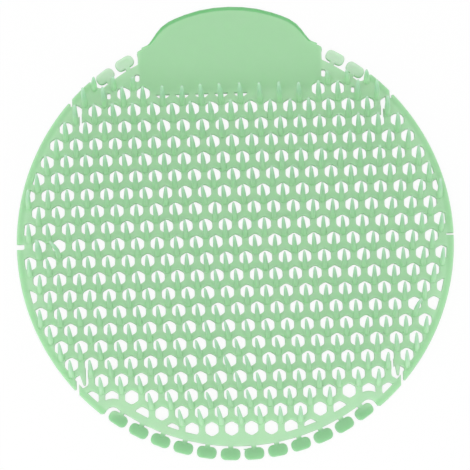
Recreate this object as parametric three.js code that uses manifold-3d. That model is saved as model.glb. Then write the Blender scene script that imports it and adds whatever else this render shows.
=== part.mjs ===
// A urinal deodoriser screen: one moulded mat of soft plastic with a honeycomb of holes,
// a field of leaning pins, a pull tab and rows of trimming lugs on its rim.
// Millimetres. +Z points up from the flat back to the pins, and +Y points to the tab.

import * as THREE from "three";
import { mergeVertices } from "three/addons/utils/BufferGeometryUtils.js";
import Module from "manifold-3d";

const wasm = await Module();
wasm.setup();

// Driving dimensions of the plate and its rim
const DISC_RADIUS = 89.2;
const PLATE_THICKNESS = 2.4;
const RIM_WIDTH = 3.0;
const ARC_STEP = 11.25; // degrees of rim to one straight facet

// Honeycomb
const HOLE_PITCH = 8.0;
const HOLE_FLATS = 5.8; // across the flats
const HOLE_ROOM = 2.6; // from a hole's middle to the rim: with less, the rim closes it

// Pins, one at the foot of each hole
const PIN_HEIGHT = 12.0;
const PIN_LEAN = 23; // degrees towards the tab
const PIN_EDGE = 2.7; // from a pin's foot to the edge of the plate
const PIN_EDGE_AT_LUGS = 4.9; // the same along the bottom lugs
const MISSING_PIN = { column: 10, row: -4 }; // torn off

// Pull tab: a crown, two shoulders and two sides, filling the honeycomb behind it
const TAB_TOP = 98.0; // from the middle of the disc
const TAB_CROWN_RADIUS = 57.0;
const TAB_CROWN_HALF_ANGLE = 27.5; // degrees
const TAB_HALF_WIDTH = 38.0;
const TAB_CORNER_Y = 80.0;
const TAB_SHOULDER_PULL = 4.2; // how far each end of the shoulder runs on before it turns
const TAB_FILL_HALF_WIDTH = 36.6;
const TAB_FILL_Y = 66.0;
const TAB_FOOT_HALF_WIDTH = 32.0;
const TAB_FOOT_Y = 59.0;

// Lugs on necks, set in a recess of the rim
const LUG_LENGTH = 8.0;
const LUG_DEPTH = 4.8;
const LUG_SPACING = 6.36; // degrees
const LUG_GAP = 0.95; // to the rim behind
const LUG_END_GAP = 1.3; // to the rim beside the last lug
const NECK_WIDTH = 2.0;
const RECESS_ROUND = 2.9;
const BOTTOM_LUGS = 12;
const TOP_LUGS = 2; // on each side of the tab
const TOP_LUG_START = 30.0; // degrees from the tab's middle to the first of them

// Notches and slits that let the mat bend
const NOTCH_DEPTH = 3.1;
const LEFT_NOTCH_WIDTH = 2.2;
const RIGHT_NOTCH_WIDTH = 0.8;
const RIM_SLIT_X = 65.6;
const RIM_SLIT_WIDTH = 0.7;
const WEB_SLIT_X = 62.0;
const WEB_SLIT_WIDTH = 0.9;
const TONGUE_LENGTH = 6.2; // of the stub that hangs into each lower slit
const TONGUE_TIP = 0.8;

// Worked out from them
const CUT = 1.0; // how far a cutter runs past the plate
const ROW_STEP = (HOLE_PITCH * Math.sqrt(3)) / 2;
const HOLE_RADIUS = HOLE_FLATS / Math.sqrt(3);
const WEB = HOLE_PITCH - HOLE_FLATS;
const JUNCTION_DROP = HOLE_PITCH / Math.sqrt(3); // from a hole's middle to the webs' meeting
const JUNCTION_RADIUS = WEB / Math.sqrt(3);
const FIELD_RADIUS = DISC_RADIUS - RIM_WIDTH;
const RECESS_RADIUS = DISC_RADIUS - LUG_DEPTH - LUG_GAP;
const LUG_RADIUS = DISC_RADIUS - LUG_DEPTH / 2;
const SLIT_ROW = 8; // the slits run through the last hole of this row, above and below
const SLIT_COLUMN = 8;

const radians = THREE.MathUtils.degToRad;
const degrees = THREE.MathUtils.radToDeg;
const holeX = (column) => column * HOLE_PITCH;
const holeY = (row) => row * ROW_STEP;
const angleAt = (x, y) => (degrees(Math.atan2(y, x)) + 360) % 360;
const join = (solids) => wasm.Manifold.union(solids);

// Shapes

// A closed three.js geometry as a solid that can be joined and cut.
function solidOf(geometry) {
  geometry.deleteAttribute("normal");
  geometry.deleteAttribute("uv");
  const merged = mergeVertices(geometry, 1e-5);
  return new wasm.Manifold(
    new wasm.Mesh({
      numProp: 3,
      vertProperties: new Float32Array(merged.attributes.position.array),
      triVerts: new Uint32Array(merged.index.array),
    }),
  );
}

// A flat outline raised to the plate's thickness.
function plate(points, past = 0) {
  const geometry = new THREE.ExtrudeGeometry(new THREE.Shape(points), {
    depth: PLATE_THICKNESS + 2 * past,
    bevelEnabled: false,
  });
  return solidOf(geometry.translate(0, 0, -past));
}

const cutter = (points) => plate(points, CUT);

// Points on an arc, ends included, with angles in degrees from +X.
function arc(x, y, radius, from, to, step = ARC_STEP) {
  const count = Math.max(1, Math.round(Math.abs(to - from) / step));
  return Array.from({ length: count + 1 }, (_, i) => {
    const angle = radians(from + ((to - from) * i) / count);
    return new THREE.Vector2(x + radius * Math.cos(angle), y + radius * Math.sin(angle));
  });
}

const polygon = (x, y, radius, start, sides) =>
  arc(x, y, radius, start, start + 360, 360 / sides).slice(0, sides);

const disc = (radius) => polygon(0, 0, radius, 0, 360 / ARC_STEP);

function sector(inner, outer, from, to) {
  return [...arc(0, 0, outer, from, to), ...arc(0, 0, inner, to, from)];
}

function box(left, bottom, right, top) {
  return [
    new THREE.Vector2(left, bottom),
    new THREE.Vector2(right, bottom),
    new THREE.Vector2(right, top),
    new THREE.Vector2(left, top),
  ];
}

function mirrored(points) {
  return points.map((p) => new THREE.Vector2(-p.x, p.y)).reverse();
}

// Lugs and the recess they stand in

const angleOf = (length) => degrees(length / LUG_RADIUS);
const RECESS_TURN = angleOf(RECESS_ROUND);

function lugRow(middle, count) {
  return Array.from(
    { length: count },
    (_, i) => middle + (i - (count - 1) / 2) * LUG_SPACING,
  );
}

const bottomLugs = lugRow(270, BOTTOM_LUGS);
const topMiddle = TOP_LUG_START + ((TOP_LUGS - 1) / 2) * LUG_SPACING;
const rightLugs = lugRow(90 - topMiddle, TOP_LUGS);
const leftLugs = lugRow(90 + topMiddle, TOP_LUGS);
const lugRows = [bottomLugs, rightLugs, leftLugs];

function recessSpan(lugs) {
  const past = angleOf(LUG_LENGTH / 2 + LUG_END_GAP);
  return [lugs[0] - past, lugs[lugs.length - 1] + past];
}

const onCircle = (radius, angle) => arc(0, 0, radius, angle, angle)[0];

const inSpan = (angle, [from, to]) => angle > from && angle < to;

// How far from the middle the plate reaches at an angle, lugs and tab apart.
function edgeRadius(angle) {
  const recessed = lugRows.some((lugs) => inSpan(angle, recessSpan(lugs)));
  return recessed ? RECESS_RADIUS : DISC_RADIUS;
}

// The round ends of a recess, or, with a margin, what its rim closes of the honeycomb.
function recessEnds(lugs, margin = 0) {
  const [from, to] = recessSpan(lugs);
  return [from + RECESS_TURN, to - RECESS_TURN].map((angle) => {
    const middle = onCircle(LUG_RADIUS, angle);
    return cutter(polygon(middle.x, middle.y, RECESS_ROUND + margin, angle, 8));
  });
}

function recess(lugs) {
  const [from, to] = recessSpan(lugs);
  const outer = DISC_RADIUS + 2 * CUT;
  const [start, end] = [from + RECESS_TURN, to - RECESS_TURN];
  const back = [start, ...lugs, end].map((angle) => onCircle(RECESS_RADIUS, angle));
  const span = [...arc(0, 0, outer, start, end), ...back.reverse()];
  const mouth = sector(LUG_RADIUS, outer, from, to);
  return join([cutter(span), cutter(mouth), ...recessEnds(lugs)]);
}

// A lug and its neck, drawn at the right of the disc and turned to its place.
function lug(angle) {
  const low = DISC_RADIUS - LUG_DEPTH;
  const body = box(low, -LUG_LENGTH / 2, DISC_RADIUS, LUG_LENGTH / 2);
  const neck = box(RECESS_RADIUS - CUT, -NECK_WIDTH / 2, low + CUT, NECK_WIDTH / 2);
  return plate(body).add(plate(neck)).rotate([0, 0, angle]);
}

// Pull tab

function tabSide() {
  const crownY = TAB_TOP - TAB_CROWN_RADIUS;
  const crown = arc(0, crownY, TAB_CROWN_RADIUS, 90, 90 - TAB_CROWN_HALF_ANGLE);
  const end = crown[crown.length - 1];
  const corner = new THREE.Vector2(TAB_HALF_WIDTH, TAB_CORNER_Y);
  const heading = radians(-TAB_CROWN_HALF_ANGLE);
  const pull = new THREE.Vector2(Math.cos(heading), Math.sin(heading));
  const shoulder = new THREE.CubicBezierCurve(
    end,
    end.clone().addScaledVector(pull, TAB_SHOULDER_PULL),
    corner.clone().addScaledVector(pull, -2 * TAB_SHOULDER_PULL),
    corner,
  );
  return [...crown.slice(0, -1), ...shoulder.getPoints(3)];
}

function tab() {
  const side = tabSide();
  const root = RECESS_RADIUS * Math.cos(Math.asin(TAB_HALF_WIDTH / RECESS_RADIUS)) - CUT;
  const foot = [
    new THREE.Vector2(TAB_HALF_WIDTH, root),
    new THREE.Vector2(-TAB_HALF_WIDTH, root),
  ];
  return plate([...side, ...foot, ...mirrored(side).slice(0, -1)].reverse());
}

// Whether the tab fills the honeycomb at a point.
function underTab(x, y) {
  const side = y > TAB_FILL_Y && Math.abs(x) < TAB_FILL_HALF_WIDTH;
  const foot = y > TAB_FOOT_Y && Math.abs(x) < TAB_FOOT_HALF_WIDTH;
  return side || foot;
}

// Honeycomb

function everyHole(visit) {
  const last = Math.ceil(DISC_RADIUS / ROW_STEP);
  for (let row = -last; row <= last; row++) {
    const shift = row % 2 ? 0.5 : 0;
    for (let column = -last - shift; column <= last + shift; column++) {
      visit(column, row);
    }
  }
}

// Whole hexagons, apart from what the rim closes at the slits and beside the end lugs.
function holes() {
  const hexagons = [];
  everyHole((column, row) => {
    const [x, y] = [holeX(column), holeY(row)];
    const room = edgeRadius(angleAt(x, y)) - RIM_WIDTH - Math.hypot(x, y);
    const slit = Math.abs(column) === SLIT_COLUMN && Math.abs(row) === SLIT_ROW;
    if ((room < HOLE_ROOM && !slit) || underTab(x, y)) return;
    const hexagon = cutter(polygon(x, y, HOLE_RADIUS, 90, 6));
    hexagons.push(slit ? hexagon.intersect(cutter(disc(FIELD_RADIUS))) : hexagon);
  });
  return join(hexagons).subtract(join(lugRows.flatMap((lugs) => recessEnds(lugs, RIM_WIDTH))));
}

// Notches and slits

function notches() {
  const inner = DISC_RADIUS - NOTCH_DEPTH;
  const outer = DISC_RADIUS + CUT;
  return join([
    cutter(box(-outer, -LEFT_NOTCH_WIDTH / 2, -inner, LEFT_NOTCH_WIDTH / 2)),
    cutter(box(inner, -RIGHT_NOTCH_WIDTH / 2, outer, RIGHT_NOTCH_WIDTH / 2)),
  ]);
}

// From the rim into the last hole of the row, and on through the web to its neighbour.
function slits() {
  const y = holeY(SLIT_ROW);
  const rim = box(RIM_SLIT_X - RIM_SLIT_WIDTH / 2, y, RIM_SLIT_X + RIM_SLIT_WIDTH / 2, DISC_RADIUS);
  const web = box(
    WEB_SLIT_X - WEB_SLIT_WIDTH / 2,
    holeY(SLIT_ROW - 1),
    WEB_SLIT_X + WEB_SLIT_WIDTH / 2,
    y,
  );
  const upper = join([rim, web].map(cutter));
  const right = upper.add(upper.mirror([0, 1, 0]));
  return right.add(right.mirror([1, 0, 0]));
}

// A stub that hangs from the webs' meeting above each lower slit.
function tongues() {
  const x = holeX(SLIT_COLUMN);
  const y = holeY(-SLIT_ROW) + JUNCTION_DROP;
  const stub = plate([
    new THREE.Vector2(x + WEB / 2, y),
    new THREE.Vector2(x - WEB / 2, y),
    new THREE.Vector2(x - WEB / 2, y - JUNCTION_RADIUS),
    new THREE.Vector2(x - TONGUE_TIP / 2, y - TONGUE_LENGTH),
    new THREE.Vector2(x + TONGUE_TIP / 2, y - TONGUE_LENGTH),
    new THREE.Vector2(x + WEB / 2, y - JUNCTION_RADIUS),
  ]);
  return stub.add(stub.mirror([1, 0, 0]));
}

// Pins

// A tapering pin whose foot is the triangle where three webs meet.
function pin(x, y) {
  const lean = Math.tan(radians(PIN_LEAN));
  const cone = new THREE.ConeGeometry(JUNCTION_RADIUS, PIN_HEIGHT, 3);
  cone.rotateX(Math.PI / 2).rotateZ(Math.PI).translate(0, 0, PIN_HEIGHT / 2);
  cone.applyMatrix4(new THREE.Matrix4().makeShear(0, 0, 0, 0, 0, lean));
  return solidOf(cone.translate(x, y, PLATE_THICKNESS));
}


function pins() {
  const list = [];
  everyHole((column, row) => {
    const x = holeX(column);
    const y = holeY(row) - JUNCTION_DROP;
    const angle = angleAt(x, y);
    const edge = inSpan(angle, recessSpan(bottomLugs)) ? PIN_EDGE_AT_LUGS : PIN_EDGE;
    const outside = Math.hypot(x, y) > edgeRadius(angle) - edge;
    const missing = column === MISSING_PIN.column && row === MISSING_PIN.row;
    if (!outside && !underTab(x, y) && !missing) list.push(pin(x, y));
  });
  return join(list);
}

// The whole mat

function screenSolid() {
  return plate(disc(DISC_RADIUS))
    .subtract(join(lugRows.map(recess)))
    .add(join(lugRows.flat().map(lug)))
    .add(tab())
    .asOriginal()
    .subtract(join([holes(), notches(), slits()]))
    .add(tongues())
    .add(pins())
    .asOriginal()
    .simplify(1e-3);
}

function meshOf(solid, name, material) {
  const { numProp, vertProperties, triVerts } = solid.getMesh();
  const geometry = new THREE.BufferGeometry();
  const positions = new THREE.InterleavedBuffer(vertProperties, numProp);
  geometry.setAttribute("position", new THREE.InterleavedBufferAttribute(positions, 3, 0));
  geometry.setIndex(new THREE.BufferAttribute(triVerts, 1));
  geometry.computeVertexNormals();
  const mesh = new THREE.Mesh(geometry, material);
  mesh.name = name;
  return mesh;
}

// Frosted soft green plastic.
const softPlastic = new THREE.MeshStandardMaterial({
  color: 0xa0cea3,
  roughness: 0.55,
  metalness: 0,
});

const screen = meshOf(screenSolid(), "screen", softPlastic);

// The origin is the middle of the mat's box, on the surface that it lies on.
const bounds = new THREE.Box3().setFromObject(screen);
const middle = bounds.getCenter(new THREE.Vector3());
screen.position.set(-middle.x, -middle.y, -bounds.min.z);

const group = new THREE.Group();
group.add(screen);

export default group;
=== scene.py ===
"""A urinal deodoriser screen: one moulded mat of frosted green soft plastic.

The mat is drawn in millimetres round the middle of its disc, with the tab at +Y and the pins at +Z.
The last step on its mesh moves it to the frame's place, in metres.
"""

import math
import random

import bmesh
import bpy
from mathutils import Matrix, Vector


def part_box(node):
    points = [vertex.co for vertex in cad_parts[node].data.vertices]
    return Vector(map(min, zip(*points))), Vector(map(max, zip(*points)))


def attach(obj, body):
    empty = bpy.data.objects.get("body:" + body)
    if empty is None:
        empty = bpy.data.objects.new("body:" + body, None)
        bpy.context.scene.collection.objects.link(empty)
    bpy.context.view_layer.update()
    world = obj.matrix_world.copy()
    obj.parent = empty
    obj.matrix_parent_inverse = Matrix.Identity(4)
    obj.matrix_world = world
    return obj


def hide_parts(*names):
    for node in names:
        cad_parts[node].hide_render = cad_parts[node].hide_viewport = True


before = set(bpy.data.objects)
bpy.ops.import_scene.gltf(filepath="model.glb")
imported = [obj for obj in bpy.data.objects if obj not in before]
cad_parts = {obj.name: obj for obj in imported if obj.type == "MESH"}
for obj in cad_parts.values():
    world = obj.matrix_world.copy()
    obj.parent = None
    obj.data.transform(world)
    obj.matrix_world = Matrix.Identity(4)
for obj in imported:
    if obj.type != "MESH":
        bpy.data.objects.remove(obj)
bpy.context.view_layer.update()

MM = 0.001
HERE = Matrix.Identity(4)

# Plate and rim
THICKNESS = 2.4
EDGE_ROUND = 0.25
FINE_ROUND = 0.2  # of the narrow cuts and the sprue's end
RIM_RADIUS = 89.1
RIM_STEPS = 240
RIM_ROUND = 0.6
FIELD_RADIUS = 86.2  # the holes are open inside it
PAST = 1.0  # how far a cutter runs past the plate
SKIN = 0.01  # how far past the surface a cutter's slope starts
OVERLAP = 1.0  # how far joined solids run into each other
SHARPEST = 0.3  # keeps a sharp corner from moving too far as its outline grows
SHARP_ANGLE = math.radians(32)  # edges from it on are shaded as edges

# Honeycomb
PITCH = 8.0
ROW_STEP = PITCH * math.sqrt(3) / 2
HOLE_FLATS = 5.38
HOLE_RADIUS = HOLE_FLATS / math.sqrt(3)
HOLE_CORNER = 0.7  # length of each side that a corner's rounding takes
JUNCTION_DROP = PITCH / math.sqrt(3)
ROW_ENDS = {  # last column of each row of holes
    0: 10, 1: 10.5, 2: 10, 3: 10.5, 4: 10, 5: 9.5, 6: 9, 7: 8.5, 8: 8, 9: 7.5,
    -1: 10.5, -2: 10, -3: 10.5, -4: 10, -5: 9.5, -6: 9, -7: 8.5, -8: 8, -9: 7.5, -10: 5, -11: 3.5,
}
CLOSED_COLUMNS = {9: (6.5, 7.5)}  # of a row, on both sides
CELL_ROWS = 13
CELL_COLUMNS = 11
ON_PLANE = 1e-5

# Lugs and their recesses
LUG_LENGTH = 8.0
LUG_DEPTH = 4.8
LUG_CORNER = 2.0
LUG_CORNER_STEPS = 4
LUG_ROUND = 0.8
LUG_SPACING = 6.36  # degrees
BOTTOM_LUGS = 12
TOP_LUGS = (30.0, 36.36)  # degrees from the tab's middle
NECK_WIDTH = 2.0
RECESS_RADIUS = 83.45
RECESS_FIELD = 80.35  # the holes end at it beside a recess
RECESS_ROUND = 2.9
RECESS_ROUND_STEPS = 28
RECESS_ARCH = 6.3  # radius that the holes keep from a recess's end
RECESS_ARCH_STEPS = 36
RECESS_MOUTH = 6.0
RECESS_TOP_ANGLE = 66.0  # degrees, where the upper recess runs in under the tab
SWEEP_STEP = 1.5  # degrees
BOTTOM_END = (51.8, -69.0)
TOP_END = (53.4, 67.8)
CORNER_TRIM = 0.6
TRIM_HALF = 1.3
TRIM_TURN = 42.0  # degrees

# Pull tab
TAB_TOP = 98.0
TAB_SIDE = [
    (0, 98.0), (6, 97.7), (12, 96.8), (18, 95.1), (22, 93.6), (25, 92.2), (28, 90.0), (30, 87.6),
    (31.5, 85.4), (33, 83.4), (35, 81.6), (37, 80.6), (38, 79.9), (38.2, 78.9), (37.9, 77.5),
    (37.9, 75.0), (38.3, 73.7), (39.6, 72.2),
]
TAB_ROOT = (44.0, 60.0)
TAB_UNDER_LOSS = 0.15
TAB_BAND = 2.2  # width of the slope along the crown
TAB_BAND_DROP = 1.7
TAB_BAND_RISE = (78.0, 12.0)  # where the slope starts to widen, and over what length
TAB_BAND_STEPS = ((0.55, 0.25), (0.85, 0.6), (1.0, 1.0))  # shares of the drop and of the width
TAB_LEFT_FOOT = 61.5
TAB_RIGHT_FOOT = 59.0
TAB_FOOT_STEP_X = 8.0
TAB_FOOT_HALF = 32.2
TAB_SIDE_HALF = 36.6
TAB_SIDE_Y = 66.0

# Notches and slits
NOTCH_DEPTH = 3.1
LEFT_NOTCH = 2.2
LEFT_NOTCH_CORNER = 0.6
RIGHT_NOTCH = 0.8
RIGHT_NOTCH_Y = 0.4
RIGHT_NOTCH_CORNER = 0.3
SLIT_ROW = 8
SLIT_Y = SLIT_ROW * ROW_STEP
RIM_SLIT_X = 65.6
LOWER_SLIT = 1.0
UPPER_SLIT = 0.7
UPPER_SLIT_START = 57.5
UPPER_FILL = (63.5, 51.0, 69.0, 60.0)  # closes the last hole of the slit's row, above
MOUTH_OUT = 1.4
MOUTH_HALF = 2.6
MOUTH_DEPTH = 1.7
MOUTH_TIP_HALF = 0.15
WEB_SLIT_X = 61.9
WEB_SLIT = 0.9

# Small forms
OPEN_SPOTS = [((37.4, 67.2, 39.2, 70.2), 0.6), ((49.4, 60.2, 50.9, 62.7), 0.5)]  # sides and corner
SPOT_ROUND = 0.15
TONGUE_Y = JUNCTION_DROP - SLIT_Y
LEFT_TONGUE = [
    (-65.1, TONGUE_Y), (-65.1, TONGUE_Y - 0.9), (-63.3, -57.0), (-62.7, -57.2), (-62.3, -56.3),
    (-62.3, TONGUE_Y),
]
RIGHT_TONGUE = [
    (65.1, TONGUE_Y), (62.9, TONGUE_Y), (62.9, TONGUE_Y - 1.3), (63.6, -56.7), (64.4, -56.7),
    (65.1, TONGUE_Y - 1.3),
]
SPRUE_END = [(0.4, -84.6), (3.4, -84.6), (2.7, -85.3), (1.2, -85.3)]

# Pins, with leans and bends per height
PIN_HEIGHT = 12.0
PIN_SIDES = 10
PIN_SECTION = [  # radius and height above the plate
    (1.25, -0.8), (1.2, 0.15), (0.97, 5.0), (0.71, 9.0), (0.44, 11.6), (0.0, 12.0),
]
PIN_MERGE = 1e-4
PIN_ROW_ENDS = {  # last column of each row of pins
    0: 10, 1: 10.5, 2: 10, 3: 10.5, 4: 10, 5: 9.5, 6: 9, 7: 8.5, 8: 8, 9: 7.5,
    -1: 10.5, -2: 10, -3: 9.5, -4: 10, -5: 9.5, -6: 9, -7: 8.5, -8: 7, -9: 4.5, -10: 3,
}
MISSING_PIN = (10, -4)
TOP_PIN_ROW = 10
TOP_PINS = (5, 6, 7)  # columns of the top row, on each side of the tab
TOP_PIN_SHARE = 0.62  # their height, as a share of the others'
UPPER_PIN_WIDTH = 0.2  # how much wider the upper rows' pins are above their feet
UPPER_PIN_RISE = (5.0, 45.0)  # where the pins start to be wider, and over what length
WIDER_PINS = {(-10, 0): 0.45}
FOOT_BLEND = 4  # a pin has its whole width from this part of its height
PIN_LEAN = math.tan(math.radians(23))
SIDE_LEAN = -0.062
AREA_LEAN = 0.09  # how much further the low middle leans left and the left side right
LOW_AREA = (20.0, 30.0)  # where an area starts, from the middle, and over what length
LEFT_AREA = (15.0, 65.0)
LOW_LEFT_LOSS = 0.6
LOW_MIDDLE = (-6.0, 20.0)  # place and width
LEAN_SPREAD = (0.014, 0.015)
CURL_SPREAD = (0.012, 0.01)
BENT_PINS = {
    (9, -4): (0.22, 0.05), (-9, 0): (-0.26, 0.0), (-10, 0): (-0.04, 0.05), (-9.5, -1): (-0.1, 0.0),
}

random.seed(38)


# Outlines and solids

def ramp(value, start, length):
    """0 up to the start, then rising evenly to 1 over the length."""
    return min(1.0, max(0.0, (value - start) / length))


def corner_ways(corners):
    """For each corner of an outline, how it moves when the outline grows by one."""
    ways = []
    for i, here in enumerate(corners):
        into = (here - corners[i - 1]).normalized()
        out = (corners[(i + 1) % len(corners)] - here).normalized()
        side = Vector((into.y + out.y, -into.x - out.x)).normalized()
        ways.append(side / max(SHARPEST, side.dot(Vector((out.y, -out.x)))))
    return ways


def raised(mesh, rings):
    """Raises a mesh's one flat face through rings of height and growth, to a closed solid."""
    mesh.faces.ensure_lookup_table()
    mesh.normal_update()
    face = mesh.faces[0]
    if face.normal.z < 0:
        face.normal_flip()
    corners = [vert.co.xy.copy() for vert in face.verts]
    ways = corner_ways(corners)
    for step, (height, growth) in enumerate(rings):
        order = list(face.verts)
        if step:
            places = [vert.co.copy() for vert in order]
            made = bmesh.ops.extrude_face_region(mesh, geom=[face])["geom"]
            if step > 1:
                bmesh.ops.delete(mesh, geom=[face], context="FACES_ONLY")
            face = next(item for item in made if isinstance(item, bmesh.types.BMFace))
            order = [min(face.verts, key=lambda vert: (vert.co - place).length) for place in places]
        each = growth if isinstance(growth, list) else [growth] * len(corners)
        for vert, corner, way, part in zip(order, corners, ways, each):
            vert.co = (*(corner + part * way), height)
    bmesh.ops.recalc_face_normals(mesh, faces=mesh.faces)
    return mesh


def quarter(size, steps):
    """Height and loss of width along a rounded edge, from the surface down."""
    turns = [math.pi / 2 * i / steps for i in range(steps + 1)]
    return [(size * (1 - math.cos(turn)), size * (1 - math.sin(turn))) for turn in turns]


def body_rings(size):
    """Rings of a body as thick as the plate, bevelled below and rounded above."""
    under = [(height, -loss) for height, loss in quarter(size, 1)]
    over = [(THICKNESS - height, -loss) for height, loss in reversed(quarter(size, 2))]
    return under + over


def cutter_rings(size, sign=1):
    """Rings of a cutter that leaves softened edges, or with sign -1 of what holds it back."""
    under = [(-PAST, sign * size), (-SKIN, sign * size), (size - SKIN, 0.0)]
    return under + [(THICKNESS - height, growth) for height, growth in reversed(under)]


CUT = cutter_rings(EDGE_ROUND)
FINE_CUT = cutter_rings(FINE_ROUND)
HOLD = cutter_rings(EDGE_ROUND, -1)


def rounded(mesh, size, segments=2):
    bmesh.ops.bevel(
        mesh, geom=mesh.verts[:], offset=size, offset_type="OFFSET", segments=segments,
        profile=0.5, affect="VERTICES", material=-1,
    )


def prism(points, rings, corner=0.0, segments=2):
    """A solid raised from a few corners, which are rounded alike where a size is given."""
    mesh = bmesh.new()
    mesh.faces.new([mesh.verts.new((x, y, 0)) for x, y in points])
    if corner:
        rounded(mesh, corner, segments)
    return raised(mesh, rings)


def box(left, bottom, right, top):
    return [(left, bottom), (right, bottom), (right, top), (left, top)]


def round_prism(radius, rings, steps, x=0.0, y=0.0):
    mesh = bmesh.new()
    bmesh.ops.create_circle(mesh, cap_ends=True, segments=steps, radius=radius)
    bmesh.ops.translate(mesh, vec=(x, y, 0), verts=mesh.verts)
    return raised(mesh, rings)


def swept(section, start, end):
    """A closed section of radius and height, spun round the disc's middle between two angles."""
    mesh = bmesh.new()
    mesh.faces.new([mesh.verts.new((radius, 0, height)) for radius, height in section])
    turn = Matrix.Rotation(math.radians(start), 4, "Z")
    bmesh.ops.transform(mesh, matrix=turn, verts=mesh.verts)
    bmesh.ops.spin(
        mesh, geom=mesh.verts[:] + mesh.edges[:] + mesh.faces[:], axis=(0, 0, 1), cent=(0, 0, 0),
        angle=math.radians(end - start), steps=max(1, round(abs(end - start) / SWEEP_STEP)),
    )
    bmesh.ops.recalc_face_normals(mesh, faces=mesh.faces)
    return mesh


def placed(source, into, matrix):
    """Adds a copy of a bmesh to another one, in its place."""
    mesh = bpy.data.meshes.new("copy")
    source.to_mesh(mesh)
    mesh.transform(matrix)
    if matrix.determinant() < 0:
        mesh.flip_normals()
    into.from_mesh(mesh)
    bpy.data.meshes.remove(mesh)


def both_sides(source):
    """A shape and its mirror image across the mat's middle line."""
    both = bmesh.new()
    placed(source, both, HERE)
    placed(source, both, Matrix.Scale(-1, 4, (1, 0, 0)))
    return both


def as_object(name, mesh):
    data = bpy.data.meshes.new(name)
    mesh.to_mesh(data)
    mesh.free()
    made = bpy.data.objects.new(name, data)
    bpy.context.scene.collection.objects.link(made)
    return made


def combined(name, base, steps):
    """Joins, cuts or crosses the base with each tool in turn. All are closed solids."""
    result = as_object(name, base)
    tools = [as_object(f"{name}_tool_{i}", tool) for i, (_, tool) in enumerate(steps)]
    for (operation, _), tool in zip(steps, tools):
        step = result.modifiers.new(operation, "BOOLEAN")
        step.operation = operation
        step.solver = "MANIFOLD"
        step.object = tool
    shape = result.evaluated_get(bpy.context.evaluated_depsgraph_get())
    mesh = bmesh.new()
    mesh.from_mesh(shape.data)
    for used in [result, *tools]:
        bpy.data.objects.remove(used)
    return mesh


# Lugs and their recesses

def lug():
    low = RIM_RADIUS - LUG_DEPTH
    body = prism(
        box(low, -LUG_LENGTH / 2, RIM_RADIUS, LUG_LENGTH / 2),
        body_rings(LUG_ROUND), LUG_CORNER, LUG_CORNER_STEPS,
    )
    neck = prism(
        box(RECESS_RADIUS - OVERLAP, -NECK_WIDTH / 2, low + OVERLAP, NECK_WIDTH / 2),
        body_rings(EDGE_ROUND),
    )
    return combined("lug", body, [("UNION", neck)])


def lugs():
    one = lug()
    bottom = [270 + (i - (BOTTOM_LUGS - 1) / 2) * LUG_SPACING for i in range(BOTTOM_LUGS)]
    right = [90 - turn for turn in TOP_LUGS]
    every = bmesh.new()
    for angle in bottom + right + [180 - turn for turn in right]:
        placed(one, every, Matrix.Rotation(math.radians(angle), 4, "Z"))
    return every


def end_angle(place):
    return math.degrees(math.atan2(place[1], place[0]))


def recess_bands(radius, rings):
    """Bands from a radius to past the rim: the bottom recess's and the upper right one's."""
    outer = RIM_RADIUS + 3 * PAST
    section = [(radius - growth, height) for height, growth in rings]
    section += [(outer, rings[-1][0]), (outer, rings[0][0])]
    start = end_angle((-BOTTOM_END[0], BOTTOM_END[1])) + 360
    bottom = swept(section, start, end_angle(BOTTOM_END) + 360)
    return bottom, swept(section, end_angle(TOP_END), RECESS_TOP_ANGLE)


def recesses():
    """Cutters for the gaps that the lugs stand in."""
    bottom, right = recess_bands(RECESS_RADIUS, CUT)
    ends, mouths = bmesh.new(), bmesh.new()
    for x, y in (BOTTOM_END, TOP_END):
        placed(round_prism(RECESS_ROUND, CUT, RECESS_ROUND_STEPS, x, y), ends, HERE)
        reach = math.hypot(x, y)
        mouth = prism(box(reach, -RECESS_ROUND, reach + RECESS_MOUTH, RECESS_ROUND), CUT)
        placed(mouth, mouths, Matrix.Rotation(math.atan2(y, x), 4, "Z"))
    return [bottom] + [both_sides(part) for part in (right, ends, mouths)]


def corner_trims():
    """Cutters that take the sharp corners off the rim at the ends of the recesses."""
    trims = bmesh.new()
    for x, y in (BOTTOM_END, TOP_END):
        below = y < 0
        past = math.asin(RECESS_ROUND / math.hypot(x, y))
        angle = math.atan2(y, x) + (past if below else -past)
        turn = Matrix.Rotation(angle, 4, "Z") @ Matrix.Translation((RIM_RADIUS, 0, 0))
        lean = Matrix.Rotation(math.radians(-TRIM_TURN if below else TRIM_TURN), 4, "Z")
        placed(prism(box(-CORNER_TRIM, -TRIM_HALF, PAST, TRIM_HALF), CUT), trims, turn @ lean)
    return both_sides(trims)


# Tab

def tab():
    """The tab's outline, raised with a wide rounded slope along its crown."""
    side = TAB_SIDE + [TAB_ROOT]
    outline = list(reversed([(-x, y) for x, y in reversed(side)] + side[1:]))
    slope = [
        EDGE_ROUND + (TAB_BAND - EDGE_ROUND) * ramp(y, *TAB_BAND_RISE) for _, y in outline
    ]
    slope_start = THICKNESS - TAB_BAND_DROP
    rings = [(0.0, -TAB_UNDER_LOSS), (EDGE_ROUND, 0.0), (slope_start, 0.0)]
    for part, loss in TAB_BAND_STEPS:
        rings.append((slope_start + part * TAB_BAND_DROP, [-loss * width for width in slope]))
    return prism(outline, rings)


# Honeycomb

def columns(last):
    """Columns one pitch apart, from the last one on the left to the last on the right."""
    return [step - last for step in range(int(2 * last) + 1)]


def hole_cutters():
    one = bmesh.new()
    bmesh.ops.create_circle(one, cap_ends=True, segments=6, radius=HOLE_RADIUS)
    rounded(one, HOLE_CORNER)
    raised(one, CUT)
    every = bmesh.new()
    for row, last in ROW_ENDS.items():
        for column in columns(last):
            if abs(column) not in CLOSED_COLUMNS.get(row, ()):
                placed(one, every, Matrix.Translation((column * PITCH, row * ROW_STEP, 0)))
    return every


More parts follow.
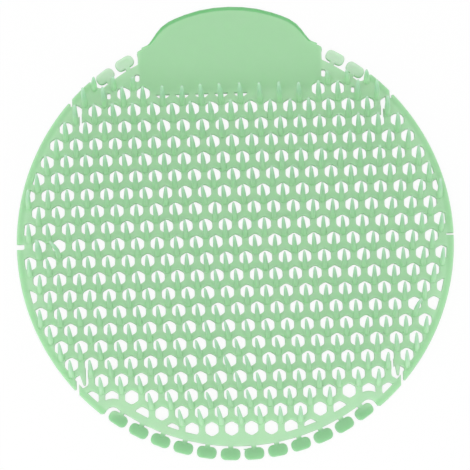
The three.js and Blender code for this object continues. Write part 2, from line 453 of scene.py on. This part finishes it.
def holes():
    """The cutters of all holes, held back by the rim, the recesses and the tab."""
    field = round_prism(FIELD_RADIUS, CUT, RIM_STEPS)
    bottom, right = recess_bands(RECESS_FIELD, HOLD)
    arches = bmesh.new()
    for x, y in (BOTTOM_END, TOP_END):
        placed(round_prism(RECESS_ARCH, HOLD, RECESS_ARCH_STEPS, x, y), arches, HERE)
    held = [bottom, both_sides(right), both_sides(arches)]
    for sides in (
        (-TAB_FOOT_HALF, TAB_LEFT_FOOT, TAB_FOOT_STEP_X, TAB_TOP),
        (TAB_FOOT_STEP_X - OVERLAP, TAB_RIGHT_FOOT, TAB_FOOT_HALF, TAB_TOP),
        (-TAB_SIDE_HALF, TAB_SIDE_Y, TAB_SIDE_HALF, TAB_TOP),
    ):
        held.append(prism(box(*sides), HOLD))
    held.append(both_sides(prism(box(*UPPER_FILL), HOLD)))
    steps = [("INTERSECT", field)] + [("DIFFERENCE", tool) for tool in held]
    return combined("holes", hole_cutters(), steps)


# Notches and slits

def notches():
    inner = RIM_RADIUS - NOTCH_DEPTH
    outer = RIM_RADIUS + 2 * PAST
    left = box(-outer, -LEFT_NOTCH / 2, -inner, LEFT_NOTCH / 2)
    both = prism(left, CUT, LEFT_NOTCH_CORNER)
    low = RIGHT_NOTCH_Y - RIGHT_NOTCH / 2
    right = prism(box(inner, low, outer, low + RIGHT_NOTCH), FINE_CUT, RIGHT_NOTCH_CORNER)
    placed(right, both, HERE)
    return both


def slit(width, start):
    """A cutter through the rim, with a flared mouth, and through the web beside it."""
    rim = prism(box(RIM_SLIT_X - width / 2, start, RIM_SLIT_X + width / 2, RIM_RADIUS), FINE_CUT)
    middle = Vector((RIM_SLIT_X, math.sqrt(RIM_RADIUS**2 - RIM_SLIT_X**2)))
    out = middle.normalized()
    along = Vector((-out.y, out.x))
    mouth = prism([
        middle + MOUTH_OUT * out - MOUTH_HALF * along,
        middle + MOUTH_OUT * out + MOUTH_HALF * along,
        middle + Vector((-MOUTH_TIP_HALF, -MOUTH_DEPTH)),
        middle + Vector((MOUTH_TIP_HALF, -MOUTH_DEPTH)),
    ], FINE_CUT)
    web = prism(
        box(WEB_SLIT_X - WEB_SLIT / 2, SLIT_Y - ROW_STEP, WEB_SLIT_X + WEB_SLIT / 2, SLIT_Y),
        FINE_CUT,
    )
    return combined("slit", rim, [("UNION", mouth), ("UNION", web)])


def slits():
    every = bmesh.new()
    for side, width, start in ((-1, LOWER_SLIT, SLIT_Y), (1, UPPER_SLIT, UPPER_SLIT_START)):
        placed(both_sides(slit(width, start)), every, Matrix.Scale(side, 4, (0, 1, 0)))
    return every


# Small forms

def spots():
    """What the rim leaves open of two holes on each side of the tab."""
    right = bmesh.new()
    for sides, corner in OPEN_SPOTS:
        placed(prism(box(*sides), cutter_rings(SPOT_ROUND), corner), right, HERE)
    return both_sides(right)


def tongues():
    """Stubs that hang from the webs' meeting above each lower slit."""
    both = prism(LEFT_TONGUE, body_rings(EDGE_ROUND))
    placed(prism(RIGHT_TONGUE, body_rings(EDGE_ROUND)), both, HERE)
    return both


def sprue_end():
    """The trimmed end of the sprue, under the bottom rim."""
    return prism(SPRUE_END, body_rings(FINE_ROUND))


# Pins

def pin():
    """A round tapering pin, spun from its section."""
    mesh = bmesh.new()
    line = [mesh.verts.new((radius, 0, height)) for radius, height in PIN_SECTION]
    for start, end in zip(line, line[1:]):
        mesh.edges.new((start, end))
    bmesh.ops.spin(
        mesh, geom=mesh.verts[:] + mesh.edges[:], axis=(0, 0, 1), cent=(0, 0, 0),
        angle=2 * math.pi, steps=PIN_SIDES, use_merge=True,
    )
    bmesh.ops.remove_doubles(mesh, verts=mesh.verts, dist=PIN_MERGE)
    bmesh.ops.holes_fill(mesh, edges=mesh.edges)
    bmesh.ops.recalc_face_normals(mesh, faces=mesh.faces)
    return mesh


def pin_places():
    for row, last in PIN_ROW_ENDS.items():
        for column in columns(last):
            if (column, row) != MISSING_PIN:
                yield column, row
    for column in TOP_PINS:
        yield column, TOP_PIN_ROW
        yield -column, TOP_PIN_ROW


def side_lean(x, y):
    """How far the pins of one area lean sideways."""
    low = ramp(-y, *LOW_AREA)
    left = ramp(-x, *LEFT_AREA)
    place, width = LOW_MIDDLE
    middle = math.exp(-(((x - place) / width) ** 2))
    return SIDE_LEAN - AREA_LEAN * low * middle + AREA_LEAN * left * (1 - LOW_LEFT_LOSS * low)


def pins():
    """All pins, each with its own lean and bend."""
    one = pin()
    every = bmesh.new()
    for column, row in pin_places():
        x, y = column * PITCH, row * ROW_STEP - JUNCTION_DROP
        bend_x, bend_y = BENT_PINS.get((column, row), (0.0, 0.0))
        lean_x = side_lean(x, y) + random.gauss(0, LEAN_SPREAD[0])
        lean_y = PIN_LEAN + random.gauss(0, LEAN_SPREAD[1])
        curl_x = random.gauss(0, CURL_SPREAD[0]) + bend_x
        curl_y = random.gauss(0, CURL_SPREAD[1]) + bend_y
        tall = TOP_PIN_SHARE if row == TOP_PIN_ROW else 1.0
        wide = UPPER_PIN_WIDTH * ramp(y, *UPPER_PIN_RISE) + WIDER_PINS.get((column, row), 0.0)
        done = len(every.verts)
        placed(one, every, HERE)
        every.verts.ensure_lookup_table()
        for vert in every.verts[done:]:
            rise = vert.co.z * (tall if vert.co.z > 0 else 1.0)
            share = max(0.0, rise) / PIN_HEIGHT
            wider = 1.0 + wide * min(1.0, FOOT_BLEND * share)
            curl = PIN_HEIGHT * share**2
            vert.co.x = x + wider * vert.co.x + lean_x * rise + curl_x * curl
            vert.co.y = y + wider * vert.co.y + lean_y * rise + curl_y * curl
            vert.co.z = THICKNESS + rise
    return every


# The whole mat

def split_in_cells(mesh):
    """Splits the faces along the middles of the holes and pins, so that none has a hole in it."""
    rows = range(-CELL_ROWS, CELL_ROWS + 1)
    across = [row * ROW_STEP - drop for row in rows for drop in (0, JUNCTION_DROP)]
    along = [column * PITCH for column in range(-CELL_COLUMNS, CELL_COLUMNS + 1)]
    cuts = [((0, y, 0), (0, 1, 0)) for y in across] + [((x, 0, 0), (1, 0, 0)) for x in along]
    for place, side in cuts:
        bmesh.ops.bisect_plane(
            mesh, geom=mesh.verts[:] + mesh.edges[:] + mesh.faces[:], dist=ON_PLANE,
            plane_co=place, plane_no=side,
        )


def mat_mesh():
    disc = round_prism(RIM_RADIUS, body_rings(RIM_ROUND), RIM_STEPS)
    blank = combined("blank", disc, [("DIFFERENCE", gap) for gap in recesses()] + [
        ("UNION", lugs()), ("UNION", tab()), ("UNION", sprue_end()),
    ])
    split_in_cells(blank)
    return combined("mat", blank, [
        ("DIFFERENCE", holes()), ("DIFFERENCE", notches()), ("DIFFERENCE", slits()),
        ("DIFFERENCE", spots()), ("DIFFERENCE", corner_trims()),
        ("UNION", tongues()), ("UNION", pins()),
    ])


def finish_mesh(mesh, middle_y):
    """Shades the mesh and moves it to the frame's place."""
    bmesh.ops.triangulate(mesh, faces=mesh.faces)
    for face in mesh.faces:
        face.smooth = True
    for edge in mesh.edges:
        edge.smooth = len(edge.link_faces) == 2 and edge.calc_face_angle() < SHARP_ANGLE
    move = Matrix.Translation((0, middle_y, 0)) @ Matrix.Scale(MM, 4)
    bmesh.ops.transform(mesh, matrix=move, verts=mesh.verts)


# Material

def linear(red, green, blue):
    """A colour of a screen, 0 to 255, as light."""
    return (*[((part / 255 + 0.055) / 1.055) ** 2.4 for part in (red, green, blue)], 1)


WEB_GREEN = linear(180, 223, 182)
MOTTLE_GREEN = linear(186, 225, 184)
RIM_GREEN = linear(166, 213, 168)
# The lugs are one green: the lower lugs' darker green is painted shade, and the upper lugs' paler
# green is painted light.
SHADED_LOW_LUG_GREEN = linear(141, 194, 146)
LIT_HIGH_LUG_GREEN = linear(193, 224, 194)
# Painted shade on the walls of the holes and the plate's edges.
WALL_SHADE_GREEN = linear(158, 210, 164)
PIN_TIP_GREEN = linear(164, 204, 173)
# Painted shade along the tab's sloping crown.
CROWN_SHADE_GREEN = linear(112, 188, 122)

# Where one green blends into the next, in metres from the disc's middle
RIM_REACH = (0.0858, 0.0872)
TAB_HALF = (0.0385, 0.0365)
TAB_FOOT_Y = (0.0600, 0.0640)
LOW_LUG_REACH = (0.0832, 0.0845)
LOW_LUG_Y = (-0.066, -0.072)
HIGH_LUG_REACH = (0.0838, 0.0848)
HIGH_LUG_Y = (0.066, 0.069)
HIGH_LUG_X = (0.0375, 0.0385)
CROWN_SHADE_Y = (0.078, 0.083)
PLATE_TOP_Z = (0.0026, 0.0022)
# Below this the pins keep the web's paler green, painted light against the shade at their feet;
# above it they turn to their greyer green.
PIN_TIP_Z = (0.0045, 0.0105)

# The same for how far a face looks up, or towards the tab, where the walls and the crown take
# painted shade
WALL_SHADE_TILT = (0.85, 0.35)
CROWN_SHADE_TILT = (0.12, 0.4)

MOTTLE_SCALE = 90
MOTTLE_RANGE = (0.35, 0.7)
MOTTLE_SHARE = 0.45
WALL_SHADE_SHARE = 0.6
CROWN_SHADE_SHARE = 0.9
WAVE_SCALE = 180
PATCH_SCALE = 700
GRAIN_SCALE = 5200
ROUGHNESS = (0.42, 0.58)
WAVES = [("Strength", 0.35), ("Distance", 0.0006)]
GRAIN = [("Strength", 0.22), ("Distance", 0.00008)]
SOFT_PLASTIC = {
    "IOR": 1.49,
    "Specular IOR Level": 0.35,
    "Subsurface Weight": 0.75,
    "Subsurface Radius": (0.7, 1.0, 0.7),
    "Subsurface Scale": 0.005,
}


class Tree:
    """Short ways to add and link the nodes of one material."""

    def __init__(self, material):
        material.use_nodes = True
        self.nodes, self.links = material.node_tree.nodes, material.node_tree.links
        self.shader = self.nodes["Principled BSDF"]

    def node(self, kind, values=(), **settings):
        made = self.nodes.new(kind)
        for name, value in settings.items():
            setattr(made, name, value)
        for socket, value in values:
            if isinstance(value, bpy.types.NodeSocket):
                self.links.new(value, made.inputs[socket])
            else:
                made.inputs[socket].default_value = value
        return made

    def math(self, operation, *values):
        return self.node("ShaderNodeMath", enumerate(values), operation=operation).outputs[0]

    def step(self, value, start, end):
        """0 before the start and 1 past the end, smooth between them."""
        values = [(0, value), (1, start), (2, end)]
        return self.node("ShaderNodeMapRange", values, interpolation_type="SMOOTHSTEP").outputs[0]

    def blend(self, share, first, second):
        values = [(0, share), (6, first), (7, second)]
        return self.node("ShaderNodeMix", values, data_type="RGBA").outputs[2]

    def noise(self, place, scale, detail):
        values = [("Vector", place), ("Scale", scale), ("Detail", detail)]
        return self.node("ShaderNodeTexNoise", values).outputs[0]


def plastic_colour(tree, place, middle_y):
    """The mat's greens: mottled webs, paler rim and tab, a darker green on the lower lugs as
    painted shade and a paler one on the upper lugs as painted light, painted shade on the walls and
    along the crown, and greyer pin tips above feet kept paler as painted light.
    """
    x, y, z = tree.node("ShaderNodeSeparateXYZ", [(0, place)]).outputs
    y = tree.math("SUBTRACT", y, middle_y)
    aside = tree.math("ABSOLUTE", x)
    squares = tree.math("ADD", tree.math("MULTIPLY", x, x), tree.math("MULTIPLY", y, y))
    reach = tree.math("SQRT", squares)
    normal = tree.node("ShaderNodeNewGeometry").outputs["Normal"]
    facing = tree.node("ShaderNodeSeparateXYZ", [(0, normal)]).outputs

    clouds = tree.step(tree.noise(place, MOTTLE_SCALE, 3), *MOTTLE_RANGE)
    web = tree.blend(tree.math("MULTIPLY", clouds, MOTTLE_SHARE), WEB_GREEN, MOTTLE_GREEN)
    rim = tree.step(reach, *RIM_REACH)
    on_tab = tree.math("MULTIPLY", tree.step(y, *TAB_FOOT_Y), tree.step(aside, *TAB_HALF))
    colour = tree.blend(tree.math("MAXIMUM", rim, on_tab), web, RIM_GREEN)

    # Painted shade: the lower lugs turn a darker green.
    low_lug_shade = tree.math("MULTIPLY", tree.step(reach, *LOW_LUG_REACH), tree.step(y, *LOW_LUG_Y))
    colour = tree.blend(low_lug_shade, colour, SHADED_LOW_LUG_GREEN)
    # Painted light: the upper lugs beside the tab turn a paler green.
    high_lug_light = tree.math("MULTIPLY", tree.step(reach, *HIGH_LUG_REACH), tree.step(y, *HIGH_LUG_Y))
    high_lug_light = tree.math("MULTIPLY", high_lug_light, tree.step(aside, *HIGH_LUG_X))
    colour = tree.blend(high_lug_light, colour, LIT_HIGH_LUG_GREEN)

    # Painted shade: faces of the plate that look sideways turn a darker, deeper green.
    wall_shade = tree.math("MULTIPLY", tree.step(facing[2], *WALL_SHADE_TILT), tree.step(z, *PLATE_TOP_Z))
    colour = tree.blend(tree.math("MULTIPLY", wall_shade, WALL_SHADE_SHARE), colour, WALL_SHADE_GREEN)
    # Pins are greyer towards their tips; their paler feet are painted light.
    colour = tree.blend(tree.step(z, *PIN_TIP_Z), colour, PIN_TIP_GREEN)
    # Painted shade: the crown's slope, which faces the tab's top, turns a dark saturated green.
    slope = tree.math("MULTIPLY", tree.step(facing[1], *CROWN_SHADE_TILT), tree.step(y, *CROWN_SHADE_Y))
    return tree.blend(tree.math("MULTIPLY", slope, CROWN_SHADE_SHARE), colour, CROWN_SHADE_GREEN)


def soft_plastic(middle_y):
    """Frosted plastic that light soaks into, with a fine grain over soft waves."""
    material = bpy.data.materials.new("soft_plastic")
    tree = Tree(material)
    place = tree.node("ShaderNodeTexCoord").outputs["Object"]
    patches = [(0, tree.noise(place, PATCH_SCALE, 2)), (3, ROUGHNESS[0]), (4, ROUGHNESS[1])]
    rough = tree.node("ShaderNodeMapRange", patches).outputs[0]
    waves = tree.node("ShaderNodeBump", WAVES + [("Height", tree.noise(place, WAVE_SCALE, 2))])
    grain = tree.node("ShaderNodeBump", GRAIN + [
        ("Height", tree.noise(place, GRAIN_SCALE, 3)), ("Normal", waves.outputs[0]),
    ])
    tree.links.new(plastic_colour(tree, place, middle_y), tree.shader.inputs["Base Color"])
    tree.links.new(rough, tree.shader.inputs["Roughness"])
    tree.links.new(grain.outputs[0], tree.shader.inputs["Normal"])
    for socket, value in SOFT_PLASTIC.items():
        tree.shader.inputs[socket].default_value = value
    return material


# Studio

CAMERA_LENS = 194
CAMERA_SENSOR = 36
CAMERA_PLACE = (-0.0226, -0.1456, 1.0242)
CAMERA_FORWARD = (0.0217, 0.1392, -0.9900)
CAMERA_RIGHT = (0.9994, -0.0319, 0.0168)
SKY_STRENGTH = 0.95
LAMP_SIZE = 0.8
LAMP_POWER = 2.2
LAMP_PLACE = (-0.25, -0.55, 0.8)
FLOOR_HALF = 3
FLOOR_GAP = 0.0002
FLOOR_WHITE = (0.9, 0.9, 0.9, 1)
FLOOR_GLOW = 0.92


def camera():
    lens = bpy.data.cameras.new("camera")
    lens.lens = CAMERA_LENS
    lens.sensor_width = CAMERA_SENSOR
    eye = bpy.data.objects.new("camera", lens)
    forward = Vector(CAMERA_FORWARD).normalized()
    right = Vector(CAMERA_RIGHT)
    right = (right - right.dot(forward) * forward).normalized()
    turn = Matrix((right, right.cross(forward), -forward)).transposed()
    eye.matrix_world = Matrix.Translation(CAMERA_PLACE) @ turn.to_4x4()
    bpy.context.scene.collection.objects.link(eye)
    bpy.context.scene.camera = eye


def light():
    """An even white world and one large soft lamp from the lower left."""
    world = bpy.data.worlds.new("studio")
    world.use_nodes = True
    sky = world.node_tree.nodes["Background"].inputs
    sky["Color"].default_value = (1, 1, 1, 1)
    sky["Strength"].default_value = SKY_STRENGTH
    bpy.context.scene.world = world

    lamp = bpy.data.lights.new("soft_lamp", "AREA")
    lamp.shape = "SQUARE"
    lamp.size = LAMP_SIZE
    lamp.energy = LAMP_POWER
    lit = bpy.data.objects.new("soft_lamp", lamp)
    place = Vector(LAMP_PLACE)
    turn = place.to_track_quat("Z", "Y").to_matrix().to_4x4()
    lit.matrix_world = Matrix.Translation(place) @ turn
    bpy.context.scene.collection.objects.link(lit)


def floor():
    """A floor that the camera sees as nearly white, with the mat's shadow still on it."""
    mesh = bmesh.new()
    bmesh.ops.create_grid(mesh, x_segments=1, y_segments=1, size=FLOOR_HALF)
    bmesh.ops.translate(mesh, vec=(0, 0, -FLOOR_GAP), verts=mesh.verts)
    made = as_object("floor", mesh)
    material = bpy.data.materials.new("white_floor")
    tree = Tree(material)
    tree.nodes.remove(tree.shader)
    plain = tree.node("ShaderNodeBsdfDiffuse", [("Color", FLOOR_WHITE)]).outputs[0]
    glow = tree.node("ShaderNodeEmission", [("Strength", 1.0)]).outputs[0]
    bright = tree.node("ShaderNodeMixShader", [(0, FLOOR_GLOW), (1, plain), (2, glow)]).outputs[0]
    rays = tree.node("ShaderNodeLightPath").outputs
    seen = tree.math("MAXIMUM", rays["Is Camera Ray"], rays["Is Glossy Ray"])
    seen = tree.math("MAXIMUM", seen, rays["Is Transmission Ray"])
    shown = tree.node("ShaderNodeMixShader", [(0, seen), (1, plain), (2, bright)]).outputs[0]
    tree.links.new(shown, tree.nodes["Material Output"].inputs["Surface"])
    made.data.materials.append(material)


bpy.context.scene.view_settings.view_transform = "Standard"
camera()
light()
floor()

disc_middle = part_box("screen")[1][1] - TAB_TOP * MM
shape = mat_mesh()
finish_mesh(shape, disc_middle)
mat = as_object("screen_mat", shape)
mat.data.materials.append(soft_plastic(disc_middle))
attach(mat, "root")
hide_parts("screen")
